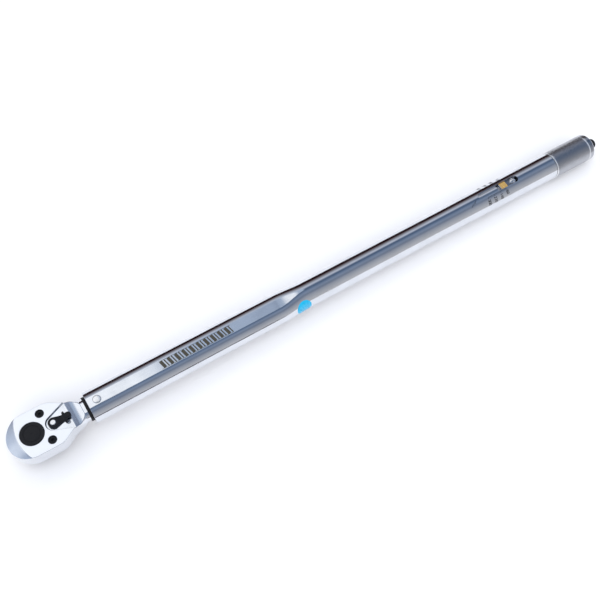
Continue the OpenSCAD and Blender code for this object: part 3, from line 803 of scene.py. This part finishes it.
def pointer_field(x, y, z):
    foot = smax(smax(np.abs(x - 543.85) - 11.15, np.abs(y) - 3.75, 0.4), np.abs(z - 10.4) - 1.0, 0.3)
    block = smax(smax(np.abs(x - 537.4) - 4.7, np.abs(y) - 3.78, 0.8), np.abs(z - 11.2) - 1.7, 0.8)
    d = smin(foot, block, 0.3)
    d = smax(d, -smax(np.abs(x - 537.4) - 0.28, 12.65 - z, 0.1), 0.2)
    return smax(d, 1.6 - np.hypot(x - 551, y), 0.2)


pointer = solid("pointer_block", [(pointer_field, (532.5, -3.9, 9.3), (555.2, 3.9, 13.0), 0.16)])
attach(pointer, "nut")
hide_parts("indicator")


def slot_screw_field(x, y, z):
    r = np.hypot(x, y)
    d = smax(r - 3.68, np.sqrt(r * r + (z - 7.8) ** 2) - 5.98, 0.3)
    d = smax(d, 11.4 - z, 0.2)
    d = smax(d, -smax(np.abs(x) - 0.5, 12.7 - z, 0.2), 0.25)
    return np.minimum(d, np.maximum(r - 1.45, np.maximum(6.7 - z, z - 11.6)))


slot_screw = solid("slotted_screw", [
    (shifted(slot_screw_field, 551, 0), (547.2, -3.8, 6.6), (554.8, 3.8, 13.9), 0.15)])
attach(slot_screw, "nut")
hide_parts("indicator_screw")

# ---- knob, cap and lock ----

KNOB_R, KNOB_FRONT, KNOB_REAR = 15.24, 609.8, 660.8
GRIP_FRONT, GRIP_REAR = 611.9, 658.7
KNURL_STARTS, KNURL_DEEP = 66, 0.16


def knurl(x, a):
    """Height of the diamond knurl, fading out at both ends of the grip."""
    if x < GRIP_FRONT or x > GRIP_REAR:
        return 0.0
    fade = min(1.0, (x - GRIP_FRONT) / 0.7, (GRIP_REAR - x) / 0.7)
    pitch = 2 * math.pi * KNOB_R / KNURL_STARTS
    u = KNURL_STARTS * a / (2 * math.pi)
    w = x / pitch * 0.62
    p, q = (u + w) % 1, (u - w) % 1
    return -KNURL_DEEP * fade * (1 - min(1.0, 2.2 * min(min(p, 1 - p), min(q, 1 - q))))


grip = [611.4 + i * 0.32 for i in range(149)]
knob_profile = [
    (KNOB_FRONT, 5.0), (KNOB_FRONT, 15.02), (610.0, KNOB_R), (611.1, KNOB_R), (611.25, 15.1),
    (611.4, 14.9), (611.7, 14.92)]
knob_profile += [(x, 15.14) for x in grip if GRIP_FRONT < x < GRIP_REAR]
knob_profile += [
    (658.9, 14.92), (659.2, 14.9), (659.35, 15.1), (659.5, KNOB_R), (660.6, KNOB_R),
    (KNOB_REAR, 15.02), (KNOB_REAR, 11.0), (652.8, 11.0), (652.8, 5.0)]
knob = outward(lathe("knob_grip", knob_profile, 528, "x", (0, 0, 0), 0, 40, knurl))
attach(knob, "adjuster")
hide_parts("knob")

cap = outward(lathe("cap_body", [
    (655.8, 3.1), (655.8, 10.98), (660.85, 10.98), (660.85, 15.1), (665.6, 15.15), (667.0, 14.0),
    (667.4, 11.0), (667.3, 7.0), (666.9, 6.6), (666.9, 3.1)], 128, "x", (0, 0, 0), 0.5, 35))
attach(cap, "adjuster")
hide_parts("end_cap")


def lock_field(x, y, z):
    r, a = np.hypot(y, z), np.arctan2(z, y)
    grip_r = 5.62 + 0.16 * np.cos(28 * a) * (np.abs(x - 673) < 3.6)
    d = smax((r - grip_r) * 0.95, np.abs(x - 673.1) - 5.4, 1.1)
    d = smax(d, -np.maximum(hexagon(y, z) - 2.0, 676.5 - x), 0.3)
    return np.minimum(d, np.maximum(r - 2.98, np.maximum(658.5 - x, x - 668.5)))


lock = solid("lock_button", [(lock_field, (658.4, -5.9, -5.9), (678.6, 5.9, 5.9), 0.2)])
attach(lock, "lock")
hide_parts("lock_knob")

# ---- materials ----


def material(name, colour, metallic, rough, grain=(1, 1, 1), grain_scale=900.0, bump=0.06,
             vary=0.08, coat=0.0, tint=None, gloss=0.5):
    """Principled surface with a drawn grain, uneven roughness and a slight colour drift."""
    mat = bpy.data.materials.new(name)
    mat.use_nodes = True
    tree = mat.node_tree
    shader = tree.nodes["Principled BSDF"]
    coords = tree.nodes.new("ShaderNodeTexCoord")
    stretch = tree.nodes.new("ShaderNodeMapping")
    stretch.inputs["Scale"].default_value = grain
    tree.links.new(coords.outputs["Object"], stretch.inputs["Vector"])
    fine = tree.nodes.new("ShaderNodeTexNoise")
    fine.inputs["Scale"].default_value = grain_scale
    fine.inputs["Detail"].default_value = 6.0
    tree.links.new(stretch.outputs["Vector"], fine.inputs["Vector"])
    broad = tree.nodes.new("ShaderNodeTexNoise")
    broad.inputs["Scale"].default_value = 55.0
    broad.inputs["Detail"].default_value = 4.0
    tree.links.new(coords.outputs["Object"], broad.inputs["Vector"])
    both = tree.nodes.new("ShaderNodeMath")
    both.operation = "MULTIPLY"
    tree.links.new(fine.outputs["Fac"], both.inputs[0])
    tree.links.new(broad.outputs["Fac"], both.inputs[1])
    spread = tree.nodes.new("ShaderNodeMapRange")
    spread.inputs["From Min"].default_value = 0.1
    spread.inputs["From Max"].default_value = 0.45
    spread.inputs["To Min"].default_value = max(0.02, rough - vary)
    spread.inputs["To Max"].default_value = rough + vary
    tree.links.new(both.outputs[0], spread.inputs["Value"])
    tree.links.new(spread.outputs["Result"], shader.inputs["Roughness"])
    mix = tree.nodes.new("ShaderNodeMix")
    mix.data_type = "RGBA"
    mix.inputs["A"].default_value = (*colour, 1)
    mix.inputs["B"].default_value = (*(tint or tuple(c * 0.82 for c in colour)), 1)
    tree.links.new(broad.outputs["Fac"], mix.inputs["Factor"])
    tree.links.new(mix.outputs["Result"], shader.inputs["Base Color"])
    height = tree.nodes.new("ShaderNodeBump")
    height.inputs["Strength"].default_value = bump
    height.inputs["Distance"].default_value = 0.0002
    tree.links.new(fine.outputs["Fac"], height.inputs["Height"])
    tree.links.new(height.outputs["Normal"], shader.inputs["Normal"])
    shader.inputs["Metallic"].default_value = metallic
    shader.inputs["Coat Weight"].default_value = coat
    shader.inputs["Specular IOR Level"].default_value = gloss
    shader.inputs["Coat Roughness"].default_value = 0.08
    return mat


MATERIALS = {
    "chrome_tube": material("chrome_tube", (0.80, 0.82, 0.86), 1.0, 0.12, (0.06, 1, 1), 1400, 0.05, 0.05),
    "chrome_head": material("chrome_head", (0.84, 0.86, 0.90), 1.0, 0.15, (1, 0.25, 1), 1100, 0.07, 0.07),
    "satin_chrome": material("satin_chrome", (0.47, 0.48, 0.51), 1.0, 0.24, (1, 0.3, 0.3), 1200, 0.12, 0.08),
    "bright_steel": material("bright_steel", (0.86, 0.86, 0.87), 1.0, 0.16, (1, 1, 0.3), 1500, 0.05, 0.06),
    "dark_steel": material("dark_steel", (0.16, 0.16, 0.18), 1.0, 0.38, (1, 1, 0.4), 900, 0.15, 0.1),
    "black_steel": material("black_steel", (0.008, 0.008, 0.009), 0.0, 0.38, (1, 1, 1), 1300, 0.12, 0.08,
                            tint=(0.013, 0.013, 0.015), gloss=0.2),
    "black_rubber": material("black_rubber", (0.010, 0.010, 0.011), 0.0, 0.55, (1, 1, 1), 700, 0.2, 0.1,
                             tint=(0.014, 0.014, 0.014), gloss=0.2),
    "cyan_sticker": material("cyan_sticker", (0.0, 0.42, 0.72), 0.0, 0.28, (1, 1, 1), 600, 0.04, 0.06, 0.4,
                             tint=(0.0, 0.50, 0.80)),
    "bronze": material("bronze", (0.55, 0.33, 0.15), 1.0, 0.35, (1, 1, 0.4), 900, 0.1, 0.1),
    "brass": material("brass", (1.0, 0.62, 0.20), 0.6, 0.24, (1, 0.3, 1), 1100, 0.08, 0.08),
    "mark_ink": material("mark_ink", (0.012, 0.012, 0.014), 0.0, 0.5, (1, 1, 1), 800, 0.1, 0.1),
    "land_painted_highlight": material("land_painted_highlight", (0.95, 0.95, 0.96), 0.75, 0.22, (1, 0.3, 0.3), 1200, 0.04, 0.05),
    # painted highlight: a near-white copy of the chrome, so the knob's end rims read bright
    "etched": material("etched", (0.075, 0.068, 0.05), 0.2, 0.5, (1, 1, 1), 1600, 0.2, 0.1),
}


def blast_face(mat, height):
    """Turns everything above a height into a bright blasted finish."""
    tree = mat.node_tree
    shader = tree.nodes["Principled BSDF"]
    coords = tree.nodes.new("ShaderNodeTexCoord")
    split = tree.nodes.new("ShaderNodeSeparateXYZ")
    tree.links.new(coords.outputs["Object"], split.inputs[0])
    share = tree.nodes.new("ShaderNodeMapRange")
    share.inputs["From Min"].default_value = height - 0.0001
    share.inputs["From Max"].default_value = height
    tree.links.new(split.outputs["Z"], share.inputs["Value"])
    # (input, its even value or None where a texture drives it, its value when blasted)
    changes = (
        ("Metallic", 1.0, (0.45, 0.45, 0.45)),
        ("Roughness", None, (0.34, 0.34, 0.34)),
        ("Base Color", None, (0.93, 0.94, 0.96)),
    )
    for name, plain, blasted in changes:
        mix = tree.nodes.new("ShaderNodeMix")
        mix.data_type = "RGBA"
        tree.links.new(share.outputs["Result"], mix.inputs["Factor"])
        if plain is None:
            tree.links.new(shader.inputs[name].links[0].from_socket, mix.inputs["A"])
        else:
            mix.inputs["A"].default_value = (plain, plain, plain, 1)
        mix.inputs["B"].default_value = (*blasted, 1)
        tree.links.new(mix.outputs["Result"], shader.inputs[name])


blast_face(MATERIALS["chrome_head"], (AXIS_Z + HEAD_TOP - 0.1) * MM)


def dress(obj, name):
    obj.data.materials.clear()
    obj.data.materials.append(MATERIALS[name])
    for p in obj.data.polygons:
        p.material_index = 0


LOOKS = {
    "tube_body": "chrome_tube",
    "head_body": "chrome_head",
    "bottom_cover": "satin_chrome",
    "cap_screws": "black_steel",
    "gear_drive": "black_steel",
    "lever_body": "black_steel",
    "lever_stem": "bright_steel",
    "pin_body": "bright_steel",
    "seal_ring": "black_rubber",
    "sticker_disc": "cyan_sticker",
    "scale_marks": "mark_ink",
    "etched_panel": "etched",
    "pointer_block": "brass",
    "slotted_screw": "bright_steel",
    "knob_grip": "satin_chrome",
    "cap_body": "satin_chrome",
    "lock_button": "black_steel",
}
for obj_name, slot in LOOKS.items():
    dress(bpy.data.objects[obj_name], slot)

# the pointer's foot is plated, in front of its brass block and behind it
BLOCK_FRONT, BLOCK_REAR = 533.3, 542.6
pointer.data.materials.append(MATERIALS["satin_chrome"])
for p in pointer.data.polygons:
    if not BLOCK_FRONT * MM < p.center.x < BLOCK_REAR * MM:
        p.material_index = 1
# polished lands at both ends of the knurl, in a chrome far brighter than the knob's: partly real polish,
# partly painted highlight standing in for the light their rims catch
LANDS_END, LANDS_START = 611.3, 659.3
knob.data.materials.append(MATERIALS["land_painted_highlight"])
for p in knob.data.polygons:
    if not LANDS_END * MM <= p.center.x <= LANDS_START * MM:
        p.material_index = 1

REPLACED = {
    "tube", "ratchet_head", "cover_plate", "cover_screws", "drive_gear", "reverse_lever",
    "lever_shaft", "pivot_pin", "neck_seal", "check_sticker", "indicator", "indicator_screw",
    "knob", "end_cap", "lock_knob",
}
# inner parts keep their CAD shape under the same finishes
for entry in frame["record"]["subparts"]:
    if entry["node"] not in REPLACED:
        dress(nodes[entry["node"]], entry["material_slot"])

# ---- stage: pale floor, soft light ----

# the tool rests on its drive's lower edge and on the knob's rear rim, KNOB_CLEAR above that level
KNOB_CLEAR = 13.15
slope = math.atan2(KNOB_CLEAR, KNOB_REAR - SQUARE_HALF)
floor_mesh = bpy.data.meshes.new("floor")
reach = 6.0
floor_corners = [(-reach, -reach, 0), (reach, -reach, 0), (reach, reach, 0), (-reach, reach, 0)]
floor_mesh.from_pydata(floor_corners, [], [(0, 1, 2, 3)])
floor = bpy.data.objects.new("floor", floor_mesh)
bpy.context.scene.collection.objects.link(floor)
floor_edge = Matrix.Translation((SQUARE_HALF * MM, 0, -0.00005))
floor.matrix_world = floor_edge @ Matrix.Rotation(-slope, 4, "Y")
paper = bpy.data.materials.new("paper")
paper.use_nodes = True
paper.node_tree.nodes["Principled BSDF"].inputs["Base Color"].default_value = (0.97, 0.955, 0.945, 1)
paper.node_tree.nodes["Principled BSDF"].inputs["Roughness"].default_value = 0.9
floor_mesh.materials.append(paper)


def sun(name, direction, strength, spread):
    """Soft lamp that lights the paper and the dull parts and isn't seen in the chrome."""
    data = bpy.data.lights.new(name, "SUN")
    data.energy = strength
    data.angle = math.radians(spread)
    obj = bpy.data.objects.new(name, data)
    obj.rotation_euler = (-Vector(direction)).to_track_quat("-Z", "Y").to_euler()
    obj.visible_glossy = False
    bpy.context.scene.collection.objects.link(obj)


sun("key", (-0.25, -0.45, 1.0), 1.7, 70)
sun("fill", (0.3, 0.5, 1.0), 1.0, 90)

# what the chrome sees, by the angle round the tool from straight up (minus is the +Y side)
SURROUND = [
    (-180, 0.85, 0.85, 0.85), (-95, 0.85, 0.85, 0.85), (-90, 0.02, 0.008, 0.010), (-66, 0.02, 0.008, 0.010),
    (-60, 0.13, 0.10, 0.11), (-50, 0.26, 0.26, 0.29), (-40, 0.48, 0.51, 0.58), (-31, 0.58, 0.63, 0.74),
    (-25, 0.30, 0.35, 0.46), (-18, 0.08, 0.12, 0.20), (-10, 0.10, 0.15, 0.24), (-3, 0.16, 0.22, 0.34),
    (9, 0.24, 0.30, 0.41), (25, 0.19, 0.23, 0.31), (39, 0.33, 0.36, 0.43), (53, 0.42, 0.44, 0.48),
    (67, 0.49, 0.50, 0.54), (81, 0.56, 0.56, 0.58), (100, 0.60, 0.60, 0.61), (120, 0.68, 0.68, 0.68),
    (150, 0.85, 0.85, 0.85), (180, 0.85, 0.85, 0.85),
]
world = bpy.data.worlds.new("studio")
bpy.context.scene.world = world
world.use_nodes = True
tree = world.node_tree
sky = tree.nodes["Background"]
coords = tree.nodes.new("ShaderNodeTexCoord")
split = tree.nodes.new("ShaderNodeSeparateXYZ")
tree.links.new(coords.outputs["Generated"], split.inputs[0])
minus = tree.nodes.new("ShaderNodeMath")
minus.operation = "MULTIPLY"
minus.inputs[1].default_value = -1.0
tree.links.new(split.outputs["Y"], minus.inputs[0])
angle = tree.nodes.new("ShaderNodeMath")
angle.operation = "ARCTAN2"
tree.links.new(minus.outputs[0], angle.inputs[0])
tree.links.new(split.outputs["Z"], angle.inputs[1])
unit = tree.nodes.new("ShaderNodeMapRange")
unit.inputs["From Min"].default_value = -math.pi
unit.inputs["From Max"].default_value = math.pi
tree.links.new(angle.outputs[0], unit.inputs["Value"])
ramp = tree.nodes.new("ShaderNodeValToRGB")
stops = ramp.color_ramp.elements
while len(stops) > 1:
    stops.remove(stops[-1])
for i, (degrees, r, g, b) in enumerate(SURROUND):
    stop = stops[0] if i == 0 else stops.new(degrees / 360 + 0.5)
    stop.position = degrees / 360 + 0.5
    stop.color = (r, g, b, 1)
tree.links.new(unit.outputs["Result"], ramp.inputs["Fac"])


def band(value, low, full):
    """Smooth step from nothing at low to one at full, on a socket."""
    node = tree.nodes.new("ShaderNodeMapRange")
    node.interpolation_type = "SMOOTHSTEP"
    node.inputs["From Min"].default_value = low
    node.inputs["From Max"].default_value = full
    tree.links.new(value, node.inputs["Value"])
    return node.outputs["Result"]


def combine(operation, a, b):
    node = tree.nodes.new("ShaderNodeMath")
    node.operation = operation
    for socket, value in zip(node.inputs, (a, b)):
        if isinstance(value, float):
            socket.default_value = value
        else:
            tree.links.new(value, socket)
    return node.outputs[0]


def panel_light(under, share, colour):
    """Lays one soft box of even colour over the surroundings."""
    node = tree.nodes.new("ShaderNodeMix")
    node.data_type = "RGBA"
    node.inputs["B"].default_value = (*colour, 1)
    tree.links.new(share, node.inputs["Factor"])
    tree.links.new(under, node.inputs["A"])
    return node.outputs["Result"]


def strip_box(centre, reach_out, reach_full):
    """Share of a long box whose middle is at an angle round the tool; all three in degrees."""
    off = combine("ABSOLUTE", combine("SUBTRACT", lean, math.radians(centre)), 0.0)
    return band(off, math.radians(reach_out), math.radians(reach_full))


along, lean = split.outputs["X"], angle.outputs[0]
above = band(split.outputs["Z"], 0.02, 0.10)
top_strip = strip_box(-23, 11, 6)
low_edge = strip_box(87, 6, 3)
# (share round the tool, from and to along it, colour)
BOXES = [
    # mirrored by the flat: a long grey-blue box, and a short white one by the head
    (top_strip, 0.31, 0.28, (0.44, 0.53, 0.68)),
    (top_strip, 0.15, 0.09, (1.15, 1.18, 1.22)),
    # dark edge low on the near side, mirrored as a line along the flattened part
    (low_edge, 0.31, 0.28, (0.06, 0.06, 0.08)),
    # blue-grey walls beyond both ends, above the bench
    (above, -0.30, -1.0, (0.62, 0.72, 0.90)),
    (above, 0.80, 0.92, (0.34, 0.44, 0.66)),
]
light = ramp.outputs["Color"]
for share, start, full, colour in BOXES:
    light = panel_light(light, combine("MULTIPLY", share, band(along, start, full)), colour)
tree.links.new(light, sky.inputs["Color"])
sky.inputs["Strength"].default_value = 1.0

# ---- springs ----

# each spring with its joint: (joint, axis, end that stays put, full travel in mm); here each spring only
# gets a mesh of its own
SPRINGS = {
    "main_spring": ("nut_travel", 0, 1, 25.5),
    "drive_ball_spring": ("socket_ball_press", 0, 1, 0.9),
    "pusher_spring": ("pusher_press", 0, 1, 0.6),
    "detent_spring": ("detent_press", 2, 0, 0.5),
}
for name, (joint, axis, fixed_end, travel) in SPRINGS.items():
    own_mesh(bpy.data.objects[name])

bpy.context.scene.view_settings.view_transform = "Standard"
